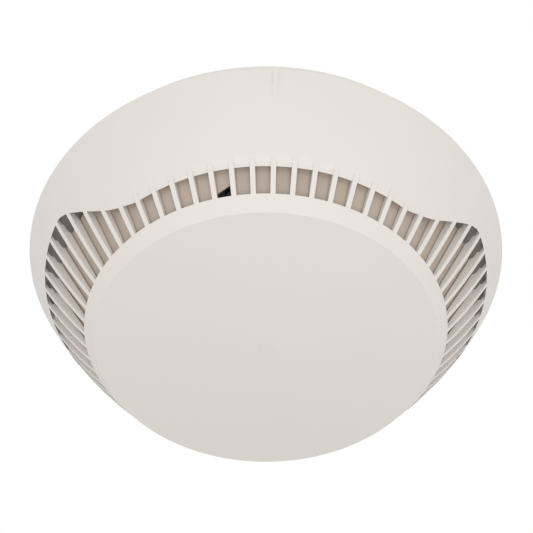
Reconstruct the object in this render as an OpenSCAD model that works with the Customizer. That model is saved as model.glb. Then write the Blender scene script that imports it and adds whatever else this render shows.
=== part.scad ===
// Point heat detector: a plug-in head held by a twist in a ceiling base.
// The ceiling is the plane z = 0 and the detector hangs below it, along -Z.
// The alignment rib on the cover's rim faces -Y when the head is locked.

/* [Cover] */
// Diameter of the cover at its rim
rim_d = 104; // [96:1:126]
// Gap between the ceiling and the cover's rim
rim_gap = 6; // [5.5:0.1:8]
// Drop from the rim to the face of the cap
cover_drop = 24.2; // [22.6:0.1:29]
// Diameter of the cap where its bevel starts
cap_d = 75.4; // [68:0.2:80]
// Width of the bevel round the cap
bevel_w = 2.3; // [1:0.1:3]
// Height of the bevel round the cap
bevel_h = 2.9; // [1.5:0.1:3.5]
// How far the skirt swells out of a straight cone
skirt_swell = 0.7; // [0.3:0.05:1.5]
// Thickness of the skirt
skirt_t = 1.2; // [1.1:0.05:1.4]
// Radius inside the fins, where they get deeper at the inner shell's rim
fin_fillet_r = 1.5; // [1:0.1:1.7]
// Thickness of the cap
cap_t = 1.8; // [1.2:0.1:2.2]
// Length of the alignment rib down the skirt
rib_len = 5.4; // [3:0.1:8]
// Width of the alignment rib
rib_w = 1; // [0.6:0.1:2]
// How far the alignment rib stands out
rib_proud = 0.3; // [0.15:0.05:0.8]
// Thickness of the skirt where it is thinned behind the tall slots' upper ends
arch_skirt_t = 0.7; // [0.6:0.05:1]
// Diameter of the round gate mark in the cap
gate_d = 3; // [1:0.1:5]
// Depth of the gate mark
gate_depth = 0.12; // [0.05:0.01:0.3]

/* [Grille] */
// Number of fins round the grille
fin_count = 64; // [48:1:72]
// Thickness of one fin
fin_t = 1; // [0.8:0.05:1.3]
// Drop from the rim to the top of the short slots
short_slot_drop = 17.4; // [16.4:0.1:18.4]
// Drop from the rim to the top of the tall slots
tall_slot_drop = 7.7; // [6.6:0.1:8]
// Width of the tall slots' arch along its top, seen from the side
arch_top_w = 37.4; // [30:0.1:44]
// Width of the arch at its foot
arch_foot_w = 64.2; // [52:0.1:67]
// Depth of the shallow recess above each short slot
recess_depth = 0.4; // [0.2:0.05:0.6]
// Height of the recess
recess_h = 2; // [1:0.1:2.5]
// Height of the slope at the recess's upper end
recess_slope_h = 0.8; // [0.4:0.1:0.9]

/* [Inner shell] */
// Drop from the cover's rim to the inner shell's rim
shell_drop = 9.6; // [9.4:0.1:10.6]
// Distance from the skirt in to the shell at the shell's rim
shell_inset = 2.1; // [1.8:0.1:3]
// Distance from the cap's edge in to the shell's foot
foot_inset = 0.8; // [0.6:0.1:1.6]
// Thickness of the shell
shell_t = 1.2; // [0.9:0.1:1.5]
// Gap between the shell's floor and the cap
floor_gap = 1.5; // [1:0.1:2]
// Gap between the shell and the fins
fin_gap = 0.25; // [0.1:0.05:0.3]

/* [Sensor] */
// Direction of the sensor from the alignment rib
sensor_angle = -14.4; // [-40:0.2:40]
// Width of the sensor's black holder
holder_w = 4.3; // [4:0.1:6]
// Height of the holder
holder_h = 2.1; // [1.9:0.1:3.5]
// Height of the holder's lower side
holder_low_h = 0.5; // [0.2:0.1:1]
// Diameter of the sensing thermistor's bead
bead_d = 1.3; // [1:0.1:1.4]
// Diameter of the thermistor's leads
lead_d = 0.5; // [0.3:0.05:0.6]

/* [Chassis] */
// Thickness of the chassis plate
plate_t = 1.6; // [1.2:0.1:1.7]
// Outer diameter of the bayonet collar
collar_d = 80; // [76:0.2:84]
// Thickness of the collar
collar_t = 2; // [1.5:0.1:2.5]
// Width of each bayonet lug round the collar
lug_angle = 30; // [24:1:36]
// Reach of each bayonet lug
lug_reach = 5; // [3:0.1:5.4]
// Thickness of each bayonet lug
lug_t = 1.45; // [1.2:0.05:1.6]
// Radius at which the case screws stand
case_screw_r = 29; // [26:0.5:31]
// Diameter of a case screw
case_screw_d = 2.6; // [2.2:0.1:3]

/* [Base] */
// Height of the base's wall below the ceiling
base_h = 8; // [7.6:0.1:8.6]
// Thickness of the base's floor
floor_t = 2.2; // [1.8:0.1:2.4]
// Thickness of the base's wall
base_wall_t = 2; // [1.6:0.1:2.4]
// Width of each tab that carries a lug
tab_angle = 34; // [28:1:38]
// Thickness of each tab
tab_t = 1.6; // [1.2:0.1:1.7]
// How far a lug lies on its tab when the head is locked
lock_angle = 16; // [12:1:18]
// Diameter of the cable entry
cable_d = 20; // [14:1:24]
// Distance between the two fixing slots across X
fix_x = 60; // [56:1:64]
// Distance between the two fixing slots across Y
fix_y = 50; // [44:1:56]
// Width of a fixing slot
fix_slot_w = 4.4; // [4:0.1:5]
// Length of a fixing slot
fix_slot_l = 9; // [7:0.5:11]

/* [Terminals] */
// Distance from the collar's inner wall in to the terminal screws
terminal_inset = 9; // [8.5:0.5:10]
// Height of the block under each terminal
block_h = 2.8; // [2.4:0.1:3.2]
// Thickness of a terminal plate
terminal_t = 0.8; // [0.6:0.1:1]
// Thickness of a wire clamp
clamp_t = 0.8; // [0.6:0.1:1]
// Diameter of a terminal screw's thread
terminal_screw_d = 3.4; // [3:0.1:3.6]
// Diameter of a terminal screw's head
terminal_head_d = 6; // [5.6:0.1:6.4]
// Width of a contact blade
blade_w = 4; // [3:0.1:5]
// Thickness of a contact blade
blade_t = 0.4; // [0.3:0.05:0.5]

/* [Circuit board] */
// Diameter of the circuit board
board_d = 74; // [73:1:78]
// Thickness of the circuit board
board_t = 1.6; // [1:0.1:1.6]
// Height of the space between the board and the chassis plate
board_space = 5; // [4:0.1:5.5]

/* [Clearances] */
// Gap between the cover's skirt and the base, and round the bayonet
skirt_gap = 0.6; // [0.4:0.1:1]
// Gap between the cover's skirt and the chassis plate
plate_gap = 0.2; // [0.15:0.05:0.3]
// Height of the space between the base's wall and the chassis plate
base_gap = 1.4; // [1:0.1:1.5]
// Gap between a bayonet lug and its tab
lug_gap = 0.15; // [0.1:0.05:0.3]
// Radial gap round a screw or pin in its hole
pin_gap = 0.1; // [0.05:0.01:0.1]
// Gap round a boss or a holder in its opening
fit_gap = 0.2; // [0.15:0.05:0.4]

/* [Hidden] */

$fn = 96;
over = 0.5;            // how far a cutting tool runs past the face that it cuts
reach = 200;           // longer than any size here
screw_fn = 32;

// Heights, all below the ceiling
rim_r = rim_d / 2;
cap_r = cap_d / 2;
rim_z = -rim_gap;
edge_z = rim_z - (cover_drop - bevel_h);
face_z = rim_z - cover_drop;
cap_in_z = face_z + cap_t;
shell_top_z = rim_z - shell_drop;
shell_floor_z = cap_in_z + floor_gap;
plate_top_z = -base_h - base_gap;
plate_low_z = plate_top_z - plate_t;
board_top_z = plate_low_z - board_space;
board_low_z = board_top_z - board_t;

// The skirt's section is an arc through the rim and the cap's edge
chord = [cap_r - rim_r, edge_z - rim_z];
chord_l = norm(chord);
arc_r = chord_l * chord_l / (8 * skirt_swell) + skirt_swell / 2;
outward = [-chord[1], chord[0]] / chord_l;
arc_c = [rim_r, rim_z] + chord / 2 - outward * (arc_r - skirt_swell);

// Radius of the skirt at height z, with its surface moved in by inset
function skirt_r(z, inset = 0) = arc_c[0] + sqrt(pow(arc_r - inset, 2) - pow(z - arc_c[1], 2));

// The line that the fins' inner edges follow, and the shell's surface behind it
shell_top_r = skirt_r(shell_top_z) - shell_inset;
shell_foot_r = cap_r - foot_inset;
shell_slope = (shell_top_r - shell_foot_r) / (shell_top_z - edge_z);
function fin_back_r(z) = shell_foot_r + (z - edge_z) * shell_slope;

// Base, collar and bayonet
base_r = skirt_r(-base_h, skirt_t) - skirt_gap;
base_in_r = base_r - base_wall_t;
collar_r = collar_d / 2;
plate_r = skirt_r(plate_low_z, skirt_t) - plate_gap;
tab_top_z = tab_t + 0.5 - base_h;
lug_low_z = tab_top_z + lug_gap;
lug_top_z = lug_low_z + lug_t;
tab_in_r = collar_r + skirt_gap;
lug_out_r = min(collar_r + lug_reach, base_in_r - skirt_gap);
bayonet_count = 3;

// Terminals and contacts: four alike, a quarter turn apart
terminal_count = 4;
terminal_r = collar_r - collar_t - terminal_inset;
blade_dir = 37;
screw_dir = 53;
pad_dir = 13;
block_end_dir = 62;
terminal_z = -floor_t - block_h;
clamp_z = terminal_z - terminal_t;
clamp_ear_t = 0.5;
clamp_w = terminal_head_d + 2 * (clamp_ear_t + pin_gap);
screw_head_z = clamp_z - clamp_t;
screw_head_h = 1.6;
contact_gap = 0.1;
pin_r = terminal_r - 7;
pin_shank_r = 0.9;
case_screw_dirs = [82, 202, 322];
boss_wall = 1.9;
case_head_r = 3;
case_head_h = 1.9;

// Sensing bead, in a pocket in the holder's face, with its leads running in and then up
sensor_dir = sensor_angle - 90;
bead_z = shell_floor_z + holder_h / 2;
bead_r = fin_back_r(bead_z) - fin_gap - bead_d / 2;
bead_y = holder_w / 2 - bead_d / 2 - 0.5;
lead_in = 1.8;
lead_pitch = bead_d / 2;
holder_in_r = bead_r - lead_in - lead_d - 0.3;

// ---- helpers ------------------------------------------------------------

// Places children at radius r in direction dir, with +X pointing outwards
module polar(r, dir) {
    rotate([0, 0, dir]) translate([r, 0, 0]) children();
}

// A flat ring sector between two directions
module sector(in_r, out_r, z_low, height, dir_from, dir_to) {
    rotate([0, 0, dir_from])
        rotate_extrude(angle = dir_to - dir_from)
            translate([in_r, z_low]) square([out_r - in_r, height]);
}

// Half section of everything inside the skirt's surface moved in by inset
module skirt_inside(inset, z_low, z_high) {
    intersection() {
        translate(arc_c) circle(r = arc_r - inset, $fn = 720);
        translate([0, z_low]) square([reach, z_high - z_low]);
    }
}

// ---- cover --------------------------------------------------------------

// Section of the fillet between the shell's rim and the skirt's inner face
module fin_fillet() {
    corner = [skirt_r(shell_top_z, skirt_t), shell_top_z];
    above = [skirt_r(shell_top_z + fin_fillet_r, skirt_t), shell_top_z + fin_fillet_r];
    lean = (above - corner) / norm(above - corner);
    leg = fin_fillet_r * lean[1] / (1 + lean[0]);
    centre = corner + [-leg, fin_fillet_r];
    difference() {
        polygon([corner + [-leg, 0], corner + [skirt_t / 2, 0],
                 corner + lean * leg + [skirt_t / 2, 0], corner + lean * leg, centre]);
        translate(centre) circle(r = fin_fillet_r, $fn = 180);
    }
}

module cover_section() {
    difference() {
        union() {
            skirt_inside(0, edge_z, rim_z);
            polygon([[0, face_z], [cap_r - bevel_w, face_z], [cap_r, edge_z], [0, edge_z]]);
        }
        difference() {
            skirt_inside(skirt_t, shell_top_z, rim_z + over);
            fin_fillet();
        }
        // the fins' depth and the shell's seat behind them
        polygon([[0, cap_in_z], [cap_r - bevel_w - cap_t / 2, cap_in_z],
                 [fin_back_r(shell_floor_z), shell_floor_z], [fin_back_r(shell_top_z), shell_top_z],
                 [fin_back_r(shell_top_z), shell_top_z + over], [0, shell_top_z + over]]);
    }
}

// Drop from the rim to the slots' upper ends, where the wave stands y from the middle
function wave_drop(y) =
    let(t = (abs(y) - arch_top_w / 2) / (arch_foot_w / 2 - arch_top_w / 2))
    tall_slot_drop + (short_slot_drop - tall_slot_drop) * (1 - cos(180 * max(0, min(1, t)))) / 2;

// Plan of the wave: a circle for the short slots, with an arch at each side for the tall ones
module wave_plan(steps = 48) {
    circle(r = skirt_r(rim_z - short_slot_drop), $fn = 360);
    for (side = [0, 180])
        rotate([0, 0, side])
            polygon(concat([[0, -arch_foot_w / 2], [0, arch_foot_w / 2]],
                           [for (i = [steps : -1 : 0])
                               let(y = arch_foot_w * (i / steps - 0.5),
                                   r = skirt_r(rim_z - wave_drop(y)))
                               [sqrt(r * r - y * y), y]]));
}

// Plan of the gaps between parallel-sided fins
module slot_plan() {
    pitch = 360 / fin_count;
    apex = fin_t / 2 / sin(pitch / 2);
    for (i = [0 : fin_count - 1])
        let(dir = -90 + i * pitch, tip = apex * [cos(dir + pitch / 2), sin(dir + pitch / 2)])
        polygon([tip, tip + reach * [cos(dir), sin(dir)],
                 tip + reach * [cos(dir + pitch), sin(dir + pitch)]]);
}

// The gaps between the fins, from the cap's edge up and out to the wave
module slots() {
    translate([0, 0, edge_z]) linear_extrude(plate_low_z - edge_z) difference() {
        intersection() {
            slot_plan();
            wave_plan();
        }
        circle(r = shell_foot_r - over, $fn = 360);
    }
}

// Recesses between the fins above the short slots, which slope in at their upper ends
module recesses() {
    slot_z = rim_z - short_slot_drop;
    top_z = slot_z + recess_h;
    bend_z = top_z - recess_slope_h;
    intersection() {
        translate([0, 0, slot_z - over]) linear_extrude(recess_h + 2 * over) slot_plan();
        rotate_extrude($fn = 360)
            polygon([[skirt_r(top_z), top_z], [skirt_r(bend_z) - recess_depth, bend_z],
                     [skirt_r(slot_z) - recess_depth, slot_z],
                     [skirt_r(slot_z) - recess_depth, slot_z - over], [rim_r, slot_z - over],
                     [rim_r, top_z]]);
    }
}

// The skirt is thinner behind the tall slots' upper ends
module arch_reliefs() {
    slot_z = rim_z - tall_slot_drop;
    half_angle = asin(arch_top_w / 2 / skirt_r(slot_z)) + 4;
    for (side = [0, 180])
        rotate([0, 0, side - half_angle]) rotate_extrude(angle = 2 * half_angle, $fn = 360)
            difference() {
                skirt_inside(arch_skirt_t, slot_z - 0.2, slot_z + 2 * skirt_t);
                skirt_inside(skirt_t + over, slot_z - over, rim_z);
            }
}

module head_cover() color([0.91, 0.89, 0.86]) {
    difference() {
        union() {
            rotate_extrude($fn = 360) cover_section();
            for (dir = case_screw_dirs)
                polar(case_screw_r, dir)
                    translate([0, 0, cap_in_z - over])
                        cylinder(r = case_screw_d / 2 + boss_wall, h = board_low_z - cap_in_z + over);
            seat_rib();
        }
        slots();
        recesses();
        arch_reliefs();
        for (dir = case_screw_dirs)
            polar(case_screw_r, dir)
                translate([0, 0, cap_in_z + 1])
                    cylinder(d = case_screw_d + 2 * pin_gap, h = reach, $fn = screw_fn);
        translate([0, 0, face_z - over]) cylinder(d = gate_d, h = over + gate_depth);
    }
    alignment_rib();
}

// Ring on the cap's inner face that the shell's floor rests on
module seat_rib() {
    difference() {
        translate([0, 0, cap_in_z - over])
            cylinder(r = shell_foot_r - 4, h = shell_floor_z - cap_in_z + over);
        translate([0, 0, cap_in_z - 2 * over])
            cylinder(r = shell_foot_r - 5.2, h = shell_floor_z - cap_in_z + 3 * over);
    }
}

// The rib fades into the skirt over its lower half
module alignment_rib() {
    low_z = rim_z - rib_len;
    fade_z = rim_z - rib_len / 2;
    intersection() {
        translate([-rib_w / 2, -reach, low_z]) cube([rib_w, reach, rib_len]);
        rotate_extrude($fn = 360) difference() {
            skirt_inside(-rib_proud, low_z, rim_z);
            skirt_inside(skirt_t / 2, edge_z, rim_z + over);
            polygon([[skirt_r(low_z) + 0.02, low_z - over], [skirt_r(low_z) + 0.02, low_z],
                     [skirt_r(fade_z) + rib_proud, fade_z], [reach, fade_z], [reach, low_z - over]]);
        }
    }
}

// ---- inner shell and sensor ----------------------------------------------

// Half section of the shell's outer shape, grown outwards by grow
module shell_outline(grow = 0) {
    foot_z = shell_floor_z - grow;
    polygon([[0, foot_z], [fin_back_r(foot_z) - fin_gap + grow, foot_z],
             [fin_back_r(shell_top_z) - fin_gap + grow, shell_top_z], [0, shell_top_z]]);
}

// Outline of the holder's face: upright on one side, with a slanted top
module holder_outline(grow = 0) {
    w = holder_w / 2 + grow;
    low_z = shell_floor_z - grow;
    polygon([[-w, low_z], [w, low_z], [w, shell_floor_z + holder_h + grow],
             [w - 0.7, shell_floor_z + holder_h + grow], [-w, shell_floor_z + holder_low_h + grow]]);
}

// The outline pushed inwards from the shell's surface, in the sensor's direction
module holder_block(grow = 0) {
    rotate([0, 0, sensor_dir])
        translate([holder_in_r - grow, 0, 0])
            rotate([90, 0, 90]) linear_extrude(rim_r - holder_in_r) holder_outline(grow);
}

module inner_shell() color([0.71, 0.67, 0.62]) difference() {
    rotate_extrude($fn = 180) difference() {
        shell_outline();
        polygon([[0, shell_floor_z + shell_t],
                 [fin_back_r(shell_floor_z + shell_t) - fin_gap - shell_t, shell_floor_z + shell_t],
                 [fin_back_r(shell_top_z + over) - fin_gap - shell_t, shell_top_z + over],
                 [0, shell_top_z + over]]);
    }
    for (dir = case_screw_dirs)
        polar(case_screw_r, dir)
            translate([0, 0, shell_floor_z - over])
                cylinder(r = case_screw_d / 2 + boss_wall + fit_gap, h = board_low_z - shell_floor_z + over);
    holder_block(fit_gap);
}

module sensor_holder() color([0.09, 0.07, 0.06]) difference() {
    intersection() {
        holder_block();
        rotate_extrude($fn = 180) shell_outline();
    }
    rotate([0, 0, sensor_dir]) translate([bead_r, bead_y, bead_z]) {
        rotate([0, 90, 0]) cylinder(d = bead_d + 2 * pin_gap, h = reach, $fn = screw_fn);
        sphere(d = bead_d + 2 * pin_gap, $fn = screw_fn);
        for (side = [-1, 1])
            translate([0, side * lead_pitch / 2, 0]) {
                translate([-lead_in, 0, 0]) rotate([0, 90, 0])
                    cylinder(d = lead_d + 2 * pin_gap, h = lead_in, $fn = 16);
                translate([-lead_in, 0, -lead_d]) cylinder(d = lead_d + 2 * pin_gap, h = reach, $fn = 16);
            }
    }
}

module sensing_thermistor() color([0.07, 0.06, 0.06]) {
    rotate([0, 0, sensor_dir]) translate([bead_r, bead_y, bead_z]) sphere(d = bead_d, $fn = screw_fn);
}

// Each lead runs in from the bead, then up into the board
module thermistor_leads() color([0.75, 0.74, 0.70]) {
    rotate([0, 0, sensor_dir]) translate([bead_r, bead_y, bead_z])
        for (side = [-1, 1])
            difference() {
                translate([-lead_in, side * lead_pitch / 2, 0]) {
                    rotate([0, 90, 0]) cylinder(d = lead_d, h = lead_in, $fn = 16);
                    cylinder(d = lead_d, h = board_top_z - bead_z + over, $fn = 16);
                    sphere(d = lead_d, $fn = 16);
                }
                sphere(d = bead_d, $fn = screw_fn);
            }
}

// ---- chassis ------------------------------------------------------------

module head_chassis() color([0.58, 0.57, 0.55]) difference() {
    lip_r = fin_back_r(shell_top_z) - fin_gap - shell_t / 2;
    union() {
        translate([0, 0, plate_low_z]) cylinder(r = plate_r, h = plate_t);
        // lip that clamps the shell's rim
        difference() {
            translate([0, 0, shell_top_z]) cylinder(r = lip_r, h = plate_low_z - shell_top_z + over);
            translate([0, 0, shell_top_z - over]) cylinder(r = lip_r - shell_t, h = reach);
        }
        // bayonet collar with its lugs
        difference() {
            translate([0, 0, plate_top_z - over])
                cylinder(r = collar_r, h = lug_top_z - plate_top_z + over);
            translate([0, 0, plate_top_z - 2 * over]) cylinder(r = collar_r - collar_t, h = reach);
        }
        for (i = [0 : bayonet_count - 1])
            let(dir = i * 360 / bayonet_count)
            sector(collar_r - over, lug_out_r, lug_low_z, lug_t, dir, dir + lug_angle);
        for (dir = case_screw_dirs)
            polar(case_screw_r, dir)
                translate([0, 0, board_top_z])
                    cylinder(r = case_head_r + 1.2, h = plate_top_z - board_top_z);
    }
    for (dir = case_screw_dirs)
        polar(case_screw_r, dir) {
            translate([0, 0, board_top_z - over])
                cylinder(d = case_screw_d + 4 * pin_gap, h = reach, $fn = screw_fn);
            translate([0, 0, plate_top_z - case_head_h - fit_gap])
                cylinder(r = case_head_r + fit_gap, h = reach, $fn = 48);
        }
    for (i = [0 : terminal_count - 1])
        polar(pin_r, blade_dir + i * 90)
            translate([0, 0, board_top_z - over])
                cylinder(r = pin_shank_r + pin_gap, h = reach, $fn = screw_fn);
}

// A pan-head screw pointing down, its head's top at z = 0
module pan_screw(head_r, head_h, shank_d, shank_l) {
    difference() {
        union() {
            translate([0, 0, -head_h]) cylinder(r = head_r, h = head_h, $fn = 48);
            translate([0, 0, -head_h - shank_l]) cylinder(d = shank_d, h = shank_l + over, $fn = screw_fn);
        }
        cross_recess(head_r * 1.1, head_h * 0.6);
    }
}

module cross_recess(span, depth) {
    for (turn = [0, 90])
        rotate([0, 0, turn]) translate([-span / 2, -0.4, -depth]) cube([span, 0.8, depth + over]);
}

module case_screws() color([0.72, 0.71, 0.69]) {
    for (dir = case_screw_dirs)
        polar(case_screw_r, dir)
            translate([0, 0, plate_top_z - fit_gap])
                pan_screw(case_head_r, case_head_h, case_screw_d,
                          plate_top_z - fit_gap - case_head_h - cap_in_z - 1.5);
}

// ---- base and terminals ---------------------------------------------------

module fixing_slot(direction, offset) {
    rotate([0, 0, direction]) for (side = [-1, 1])
        translate([side * offset, 0, -floor_t - over]) linear_extrude(floor_t + 2 * over) {
            square([fix_slot_l - fix_slot_w, fix_slot_w], center = true);
            for (end = [-1, 1])
                translate([end * (fix_slot_l - fix_slot_w) / 2, 0]) circle(d = fix_slot_w, $fn = 48);
        }
}

module mounting_base() color([0.88, 0.86, 0.83]) difference() {
    union() {
        translate([0, 0, -floor_t]) cylinder(r = base_r, h = floor_t);
        difference() {
            translate([0, 0, -base_h]) cylinder(r = base_r, h = base_h - floor_t + over);
            translate([0, 0, -base_h - over]) cylinder(r = base_in_r, h = base_h);
        }
        for (i = [0 : bayonet_count - 1])
            let(dir = i * 360 / bayonet_count + lug_angle - lock_angle) {
                sector(tab_in_r, base_in_r + over, tab_top_z - tab_t, tab_t, dir, dir + tab_angle);
                // stop that the lug turns against
                sector(lug_out_r - 2, base_in_r + over, tab_top_z - over, -tab_top_z - floor_t + 2 * over,
                       dir + lock_angle + 1, dir + lock_angle + 4);
            }
        for (i = [0 : terminal_count - 1])
            sector(terminal_r - 5, terminal_r + 5, -floor_t - block_h, block_h + over,
                   pad_dir + i * 90, block_end_dir + i * 90);
    }
    translate([0, 0, -floor_t - over]) cylinder(d = cable_d, h = floor_t + 2 * over);
    fixing_slot(0, fix_x / 2);
    fixing_slot(90, fix_y / 2);
    for (i = [0 : terminal_count - 1])
        polar(terminal_r, screw_dir + i * 90)
            translate([0, 0, -reach - 1]) cylinder(d = terminal_screw_d + 2 * pin_gap, h = reach, $fn = screw_fn);
}

module terminal_plate(i) color([0.80, 0.72, 0.50]) difference() {
    sector(terminal_r - 4, terminal_r + 4, clamp_z, terminal_t,
           pad_dir + 1 + i * 90, block_end_dir - 1 + i * 90);
    polar(terminal_r, screw_dir + i * 90)
        translate([0, 0, clamp_z - over])
            cylinder(d = terminal_screw_d + 4 * pin_gap, h = terminal_t + 2 * over, $fn = screw_fn);
}

module wire_clamp(i) color([0.74, 0.74, 0.72]) {
    polar(terminal_r, screw_dir + i * 90)
        translate([0, 0, screw_head_z]) difference() {
            union() {
                translate([-clamp_w / 2, -clamp_w / 2, 0]) cube([clamp_w, clamp_w, clamp_t]);
                // turned-down ears beside the screw's head
                for (side = [-1, 1])
                    translate([side * (clamp_w - clamp_ear_t) / 2 - clamp_ear_t / 2, -clamp_w / 2, -0.6])
                        cube([clamp_ear_t, clamp_w, 0.6 + clamp_t / 2]);
            }
            translate([0, 0, -over])
                cylinder(d = terminal_screw_d + 4 * pin_gap, h = clamp_t + 2 * over, $fn = screw_fn);
        }
}

module terminal_screw(i) color([0.78, 0.77, 0.74]) {
    polar(terminal_r, screw_dir + i * 90)
        translate([0, 0, screw_head_z - 0.02 - screw_head_h])
            mirror([0, 0, 1]) pan_screw(terminal_head_d / 2, screw_head_h, terminal_screw_d,
                                        -screw_head_z - 1.3);
}

// A leaf spring on the chassis that presses up against a terminal plate
module contact_blade(i) color([0.84, 0.76, 0.52]) {
    foot_z = plate_top_z;
    crest_z = clamp_z - contact_gap;
    polar(0, blade_dir + i * 90)
        difference() {
            translate([0, blade_w / 2, 0]) rotate([90, 0, 0]) linear_extrude(blade_w)
                polygon([[pin_r - 2.5, foot_z], [pin_r + 2.5, foot_z],
                         [terminal_r, crest_z - blade_t], [terminal_r + 2.6, crest_z - 1.2 - blade_t],
                         [terminal_r + 2.8, crest_z - 1.2], [terminal_r, crest_z],
                         [pin_r + 2.4, foot_z + blade_t], [pin_r - 2.5, foot_z + blade_t]]);
            translate([pin_r, 0, foot_z - over]) cylinder(r = pin_shank_r + pin_gap, h = 2 * over, $fn = screw_fn);
        }
}

module blade_pins() color([0.80, 0.72, 0.50]) {
    for (i = [0 : terminal_count - 1])
        polar(pin_r, blade_dir + i * 90) {
            translate([0, 0, board_low_z - 0.8])
                cylinder(r = pin_shank_r, h = plate_top_z + blade_t - board_low_z + 1, $fn = screw_fn);
            translate([0, 0, plate_top_z + blade_t]) cylinder(r = 1.6, h = 0.6, $fn = screw_fn);
        }
}

// ---- circuit board and its components --------------------------------------

module circuit_board() color([0.10, 0.36, 0.20]) difference() {
    translate([0, 0, board_low_z]) cylinder(d = board_d, h = board_t);
    for (dir = case_screw_dirs)
        polar(case_screw_r, dir)
            translate([0, 0, board_low_z - over])
                cylinder(d = case_screw_d + 4 * pin_gap, h = board_t + 2 * over, $fn = screw_fn);
    for (i = [0 : terminal_count - 1])
        polar(pin_r, blade_dir + i * 90)
            translate([0, 0, board_low_z - over])
                cylinder(r = pin_shank_r + pin_gap, h = board_t + 2 * over, $fn = screw_fn);
    for (side = [-1, 1])
        polar(bead_r - lead_in, sensor_dir)
            translate([0, bead_y + side * lead_pitch / 2, board_low_z - over])
                cylinder(d = lead_d + 2 * pin_gap, h = board_t + 2 * over, $fn = 16);
}

// A surface-mount package under the board, centred at place, with legs on two sides
module package(place, size, leg_count, leg_w = 0.4) {
    translate([place[0], place[1], board_low_z - size[2]]) {
        translate([-size[0] / 2, -size[1] / 2, 0]) cube([size[0], size[1], size[2] - 0.1]);
        for (side = [-1, 1], i = [0 : leg_count - 1])
            let(x = (i - (leg_count - 1) / 2) * size[0] / leg_count) {
                translate([x - leg_w / 2, side * (size[1] / 2 + 0.4) - 0.5, size[2] / 2])
                    cube([leg_w, 1, 0.2]);
                translate([x - leg_w / 2, side * (size[1] / 2 + 0.8) - 0.15, 0.02])
                    translate([0, 0, size[2] / 2]) cube([leg_w, 0.3, size[2] / 2 - 0.02]);
            }
    }
}

module microcontroller() color([0.10, 0.10, 0.11]) package([0, 6], [12.8, 7.5, 2.4], 10);

module bridge_rectifier() color([0.12, 0.12, 0.12]) package([-13, -5], [6.4, 6.4, 2.5], 2, 1);

module surge_suppressor() color([0.14, 0.14, 0.15]) package([12, -4], [4.6, 3.8, 2.3], 1, 2);

module resonator() color([0.80, 0.80, 0.78]) package([2, -3], [5, 3.2, 1.4], 1, 1.2);

module storage_capacitor() color([0.70, 0.71, 0.72]) {
    translate([2, -13, board_low_z]) mirror([0, 0, 1]) {
        translate([-3.3, -3.3, 0]) cube([6.6, 6.6, 1]);
        cylinder(r = 3.1, h = 5.2, $fn = 64);
    }
}

// Small two-ended parts in rows under the board
module chip_row(first, step, count, size) {
    for (i = [0 : count - 1])
        translate([first[0] + i * step[0] - size[0] / 2, first[1] + i * step[1] - size[1] / 2,
                   board_low_z - size[2]]) cube(size);
}

module chip_resistors() color([0.13, 0.13, 0.14]) {
    chip_row([-12, 15], [4, 0], 7, [2, 1.25, 0.55]);
    chip_row([-6, -20], [4, 0], 5, [2, 1.25, 0.55]);
}

module chip_capacitors() color([0.66, 0.55, 0.38]) {
    chip_row([-10, 19], [4, 0], 6, [2, 1.25, 0.9]);
    chip_row([15, -11], [0, -4], 3, [2, 1.25, 0.9]);
}

// Glass bead that measures the temperature inside the case
module reference_thermistor() color([0.55, 0.20, 0.10]) {
    translate([-12, -14, board_low_z - 2.4]) {
        sphere(d = 1.8, $fn = screw_fn);
        for (side = [-1, 1])
            translate([side * 0.45, 0, 0]) cylinder(d = 0.4, h = 2.4, $fn = 16);
    }
}

mounting_base();
terminal_plate(0);  // terminal_plate_1
terminal_plate(1);  // terminal_plate_2
terminal_plate(2);  // terminal_plate_3
terminal_plate(3);  // terminal_plate_4
wire_clamp(0);  // wire_clamp_1
wire_clamp(1);  // wire_clamp_2
wire_clamp(2);  // wire_clamp_3
wire_clamp(3);  // wire_clamp_4
terminal_screw(0);  // terminal_screw_1
terminal_screw(1);  // terminal_screw_2
terminal_screw(2);  // terminal_screw_3
terminal_screw(3);  // terminal_screw_4
head_cover();
inner_shell();
head_chassis();
case_screws();
contact_blade(0);  // contact_blade_1
contact_blade(1);  // contact_blade_2
contact_blade(2);  // contact_blade_3
contact_blade(3);  // contact_blade_4
blade_pins();
circuit_board();
microcontroller();
bridge_rectifier();
storage_capacitor();
surge_suppressor();
resonator();
chip_resistors();
chip_capacitors();
reference_thermistor();
sensor_holder();
sensing_thermistor();
thermistor_leads();
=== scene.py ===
"""Round ceiling heat detector: base, terminals, plug-in head and finned cover, in assembly order."""
import bpy
import math
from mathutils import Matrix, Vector

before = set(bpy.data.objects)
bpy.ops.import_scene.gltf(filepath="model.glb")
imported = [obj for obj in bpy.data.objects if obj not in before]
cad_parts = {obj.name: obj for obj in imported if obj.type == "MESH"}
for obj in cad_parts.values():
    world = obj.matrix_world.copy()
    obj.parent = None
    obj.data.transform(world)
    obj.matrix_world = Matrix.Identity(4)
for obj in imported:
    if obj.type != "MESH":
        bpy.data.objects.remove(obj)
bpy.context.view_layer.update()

# ---- mounting base ----------------------------------------------------------
# The round plate that is screwed to the ceiling. It is moulded in warm white plastic with a fine
# spark-eroded grain, and carries the bayonet tabs and four raised blocks for the terminals.

surface_inputs = (
    ("Vector", "NodeSocketVector"), ("Light Shade", "NodeSocketColor"), ("Deep Shade", "NodeSocketColor"),
    ("Patch Scale", "NodeSocketFloat"), ("Relief Scale", "NodeSocketFloat"),
    ("Gloss Low", "NodeSocketFloat"), ("Gloss High", "NodeSocketFloat"))
surface_outputs = (
    ("Colour", "NodeSocketColor"), ("Roughness", "NodeSocketFloat"), ("Relief", "NodeSocketFloat"))
gloss_span = (0.3, 0.7)  # the patches' noise values between which the gloss changes
relief_detail = 2


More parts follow.
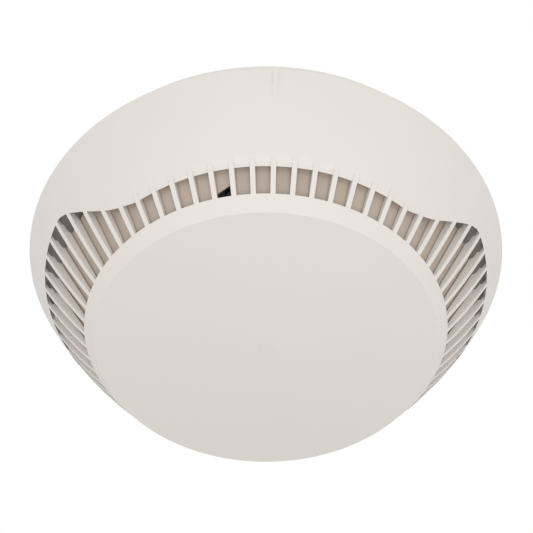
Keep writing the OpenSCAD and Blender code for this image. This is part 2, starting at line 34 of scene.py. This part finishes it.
def make_surface(name, patch_detail, shade_span, relief_stretch):
    """Group that drifts between two shades in patches, with a gloss that follows and a fine relief."""
    group = bpy.data.node_groups.new(name, "ShaderNodeTree")
    for way, sockets in (("INPUT", surface_inputs), ("OUTPUT", surface_outputs)):
        for socket, kind in sockets:
            group.interface.new_socket(name=socket, in_out=way, socket_type=kind)
    nodes, links = group.nodes, group.links
    given, result = nodes.new("NodeGroupInput"), nodes.new("NodeGroupOutput")
    patches = nodes.new("ShaderNodeTexNoise")
    patches.inputs["Detail"].default_value = patch_detail
    stretch = nodes.new("ShaderNodeVectorMath")
    stretch.operation = "MULTIPLY"
    stretch.inputs[1].default_value = relief_stretch
    relief = nodes.new("ShaderNodeTexNoise")
    relief.inputs["Detail"].default_value = relief_detail
    shade = nodes.new("ShaderNodeMix")
    shade.data_type = "RGBA"
    spread, gloss = nodes.new("ShaderNodeMapRange"), nodes.new("ShaderNodeMapRange")
    for ramp, (low, high) in ((spread, shade_span), (gloss, gloss_span)):
        ramp.inputs["From Min"].default_value = low
        ramp.inputs["From Max"].default_value = high
        links.new(patches.outputs["Fac"], ramp.inputs["Value"])
    links.new(given.outputs["Vector"], patches.inputs["Vector"])
    links.new(given.outputs["Patch Scale"], patches.inputs["Scale"])
    links.new(given.outputs["Vector"], stretch.inputs[0])
    links.new(stretch.outputs["Vector"], relief.inputs["Vector"])
    links.new(given.outputs["Relief Scale"], relief.inputs["Scale"])
    links.new(spread.outputs["Result"], shade.inputs["Factor"])
    links.new(given.outputs["Light Shade"], shade.inputs["A"])
    links.new(given.outputs["Deep Shade"], shade.inputs["B"])
    links.new(given.outputs["Gloss Low"], gloss.inputs["To Min"])
    links.new(given.outputs["Gloss High"], gloss.inputs["To Max"])
    links.new(shade.outputs["Result"], result.inputs["Colour"])
    links.new(gloss.outputs["Result"], result.inputs["Roughness"])
    links.new(relief.outputs["Fac"], result.inputs["Relief"])
    return group


def make_material(name, group, light, deep, scales, gloss, strength, height, shader_values):
    """Material whose colour, roughness and bump come from a surface group."""
    material = bpy.data.materials.new(name)
    material.use_nodes = True
    nodes, links = material.node_tree.nodes, material.node_tree.links
    shader = next(node for node in nodes if node.type == "BSDF_PRINCIPLED")
    place = nodes.new("ShaderNodeTexCoord")
    surface = nodes.new("ShaderNodeGroup")
    surface.node_tree = group
    bump = nodes.new("ShaderNodeBump")
    bump.inputs["Strength"].default_value = strength
    bump.inputs["Distance"].default_value = height
    surface.inputs["Light Shade"].default_value = (*light, 1)
    surface.inputs["Deep Shade"].default_value = (*deep, 1)
    surface.inputs["Patch Scale"].default_value, surface.inputs["Relief Scale"].default_value = scales
    surface.inputs["Gloss Low"].default_value, surface.inputs["Gloss High"].default_value = gloss
    links.new(place.outputs["Object"], surface.inputs["Vector"])
    links.new(surface.outputs["Colour"], shader.inputs["Base Color"])
    links.new(surface.outputs["Roughness"], shader.inputs["Roughness"])
    links.new(surface.outputs["Relief"], bump.inputs["Height"])
    links.new(bump.outputs["Normal"], shader.inputs["Normal"])
    for socket, value in shader_values.items():
        shader.inputs[socket.replace("_", " ")].default_value = value
    return material


moulded_skin = make_surface("moulded_skin", patch_detail=4, shade_span=(0.35, 0.65), relief_stretch=(1, 1, 1))
grain_height = 0.00002


def moulded(name, light, deep, drift=30, grain=3000, gloss=(0.42, 0.52), strength=0.1, **shader_values):
    """Moulded plastic, or a fired or coated body: a slow drift in shade and a fine even grain."""
    return make_material(name, moulded_skin, light, deep, (drift, grain), gloss, strength, grain_height,
                         shader_values)


def paint(material, *names):
    for name in names:
        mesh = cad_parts[name].data
        mesh.materials.clear()
        mesh.materials.append(material)


base_plastic = moulded("base_plastic", (0.80, 0.765, 0.725), (0.77, 0.73, 0.69))
paint(base_plastic, "mounting_base")

# ---- terminal plates --------------------------------------------------------
# Four spring brass strips with a pale nickel wash, pressed to shape and laid on the base's blocks.
# The head's blades wipe along them.

plated_metal = make_surface("plated_metal", patch_detail=5, shade_span=(0.45, 0.75),
                            relief_stretch=(1, 0.06, 1))
roll_line_height = 0.00001
roll_line_scale = 4000
roll_line_strength = 0.15


def plated(name, clean, tarnish, patch=400, gloss=(0.22, 0.4)):
    """Plated or bare metal: patches of tarnish, and fine lines along the rolling direction."""
    return make_material(name, plated_metal, clean, tarnish, (patch, roll_line_scale), gloss,
                         roll_line_strength, roll_line_height, {"Metallic": 1.0})


def each_of_four(stem):
    return [f"{stem}_{i}" for i in (1, 2, 3, 4)]


contact_brass = plated("contact_brass", (0.80, 0.70, 0.46), (0.58, 0.46, 0.25))
paint(contact_brass, *each_of_four("terminal_plate"))

# ---- wire clamps and terminal screws ----------------------------------------
# Each core goes under a folded zinc-plated clamp, which a pan-head screw pulls down on the plate.
# The screw turns in its plate when the terminal is opened.

clamp_steel = plated("clamp_steel", (0.66, 0.66, 0.64), (0.50, 0.50, 0.47), gloss=(0.28, 0.45))
paint(clamp_steel, *each_of_four("wire_clamp"))
screw_steel = plated("screw_steel", (0.72, 0.70, 0.66), (0.52, 0.50, 0.45), patch=700, gloss=(0.2, 0.36))
paint(screw_steel, *each_of_four("terminal_screw"))

# ---- head chassis -----------------------------------------------------------
# The head's backplate, moulded in grey plastic, with the bayonet collar and its three lugs. It is
# held to the cover by three small screws, and its lip clamps the inner shell. Its dark grey is partly
# the plastic's own colour and partly painted shade for the shaded inside of the head, seen through the tall
# slots.

# Dark warm grey: the plastic's own grey plus painted shade for the head's shaded inside.
chassis_plastic = moulded("chassis_plastic", (0.35, 0.32, 0.30), (0.30, 0.275, 0.255), drift=40)
paint(chassis_plastic, "head_chassis")
paint(screw_steel, "case_screws")

# ---- contact blades ---------------------------------------------------------
# Four springy brass blades on the chassis. Each is fixed by a pin that runs down into the board,
# and wipes along its terminal plate as the head is turned in.

paint(contact_brass, *each_of_four("contact_blade"), "blade_pins")

# ---- circuit board and its parts --------------------------------------------
# A round laminate with green solder mask. A microcontroller compares the sensing thermistor with a
# reference, fed through a bridge rectifier, a surge suppressor and a small storage capacitor.

board_laminate = moulded("board_laminate", (0.035, 0.17, 0.075), (0.02, 0.12, 0.05), drift=90, grain=6000,
                         gloss=(0.22, 0.34), strength=0.06)
paint(board_laminate, "circuit_board")
chip_black = moulded("chip_black", (0.028, 0.028, 0.030), (0.016, 0.016, 0.017), drift=500, grain=9000,
                     gloss=(0.45, 0.6), strength=0.2)
paint(chip_black, "microcontroller", "bridge_rectifier", "surge_suppressor", "chip_resistors")
chip_ceramic = moulded("chip_ceramic", (0.62, 0.61, 0.57), (0.52, 0.51, 0.47), drift=600, gloss=(0.25, 0.4))
paint(chip_ceramic, "resonator")
chip_tan = moulded("chip_tan", (0.42, 0.30, 0.17), (0.33, 0.23, 0.12), drift=700, gloss=(0.35, 0.5))
paint(chip_tan, "chip_capacitors")
capacitor_can = plated("capacitor_can", (0.74, 0.75, 0.76), (0.60, 0.61, 0.62), gloss=(0.24, 0.34))
paint(capacitor_can, "storage_capacitor")
glass_bead = moulded("glass_bead", (0.38, 0.09, 0.035), (0.26, 0.05, 0.02), drift=900, gloss=(0.06, 0.12),
                     strength=0.02)
paint(glass_bead, "reference_thermistor")

# ---- heat sensor ------------------------------------------------------------
# The sensing thermistor is a black epoxy bead on two tinned leads. It sits in a black plastic
# holder in the inner shell, just behind the fins.

holder_black = moulded("holder_black", (0.006, 0.004, 0.003), (0.004, 0.003, 0.002), drift=300,
                       gloss=(0.6, 0.75), Specular_IOR_Level=0.2)
paint(holder_black, "sensor_holder")
bead_black = moulded("bead_black", (0.006, 0.005, 0.005), (0.004, 0.003, 0.003), drift=900, gloss=(0.3, 0.4),
                     strength=0.03, Specular_IOR_Level=0.3)
paint(bead_black, "sensing_thermistor")
tinned_wire = plated("tinned_wire", (0.76, 0.75, 0.72), (0.60, 0.59, 0.56), gloss=(0.25, 0.4))
paint(tinned_wire, "thermistor_leads")

# ---- inner shell ------------------------------------------------------------
# A dished liner in glossy beige plastic that keeps dust and fingers off the board, right behind
# the fins. Its darker, browner beige is partly the plastic's own colour and partly painted shade for
# the shade that falls behind the fins.

# Darker, browner beige: the plastic's own colour plus painted shade for the shade behind the fins.
shell_plastic = moulded("shell_plastic", (0.48, 0.405, 0.345), (0.43, 0.36, 0.30), gloss=(0.12, 0.2),
                        strength=0.03)
paint(shell_plastic, "inner_shell")

# ---- head cover -------------------------------------------------------------
# The visible cap and skirt, one moulding in warm white plastic with a satin skin. Sixty-four
# parallel-sided fins stand under the skirt's wavy edge, and a thin rib marks the front.

cover_plastic = moulded("cover_plastic", (0.755, 0.72, 0.69), (0.742, 0.706, 0.675), drift=18)
paint(cover_plastic, "head_cover")

# ---- stage: floor, light and camera -----------------------------------------
# A pale floor far below, an even white surround, and one large soft light in front and below.
# The camera looks up at the front of the detector as it hangs from a ceiling.

floor_size = 12
floor_height = -1.3
floor_shade = (0.52, 0.51, 0.50, 1)
floor_roughness = 0.8
softbox_place = Vector((0.005, -0.15, -0.31))
softbox_aim = Vector((0, 0, -0.015))
softbox_size = 0.32
softbox_power = 0.62
softbox_tint = (1, 0.985, 0.96)
lens_mm = 82.26
sensor_mm = 36
camera_reach = 0.27006
camera_below = math.radians(49.56)
camera_pitch = math.radians(50.16)
camera_turn = math.radians(2.03)
camera_shift = (0.00115, -0.01292)
nearest_seen = 0.01
rim_height = -0.006

bpy.ops.object.select_all(action="DESELECT")
bpy.ops.mesh.primitive_plane_add(size=floor_size, location=(0, 0, floor_height))
floor = bpy.context.object
floor.name = "floor"
floor_paint = bpy.data.materials.new("floor_paint")
floor_paint.use_nodes = True
floor_shader = next(node for node in floor_paint.node_tree.nodes if node.type == "BSDF_PRINCIPLED")
floor_shader.inputs["Base Color"].default_value = floor_shade
floor_shader.inputs["Roughness"].default_value = floor_roughness
floor.data.materials.append(floor_paint)

scene = bpy.context.scene
scene.view_settings.view_transform = "Standard"
world = bpy.data.worlds.new("surround")
world.use_nodes = True
surround = next(node for node in world.node_tree.nodes if node.type == "BACKGROUND")
surround.inputs["Color"].default_value = (1, 1, 1, 1)
surround.inputs["Strength"].default_value = 1.0
scene.world = world


def stand(name, data, place, sight):
    """Stand a lamp or a camera at a place, pointing along a line of sight."""
    thing = bpy.data.objects.new(name, data)
    thing.location = place
    thing.rotation_mode = "QUATERNION"
    thing.rotation_quaternion = sight.to_track_quat("-Z", "Y")
    scene.collection.objects.link(thing)
    return thing


softbox = bpy.data.lights.new("front_softbox", "AREA")
softbox.shape = "SQUARE"
softbox.size = softbox_size
softbox.energy = softbox_power
softbox.color = softbox_tint
stand("front_softbox", softbox, softbox_place, softbox_aim - softbox_place)


def along(reach, angle):
    """A line of the given length, turned as the camera is and rising at an angle."""
    flat = reach * math.cos(angle)
    return Vector((flat * math.sin(camera_turn), flat * math.cos(camera_turn), reach * math.sin(angle)))


camera_data = bpy.data.cameras.new("camera")
camera_data.lens = lens_mm
camera_data.sensor_width = sensor_mm
camera_data.shift_x, camera_data.shift_y = camera_shift
camera_data.clip_start = nearest_seen
camera_place = Vector((0, 0, rim_height)) - along(camera_reach, camera_below)
scene.camera = stand("camera", camera_data, camera_place, along(1, camera_pitch))
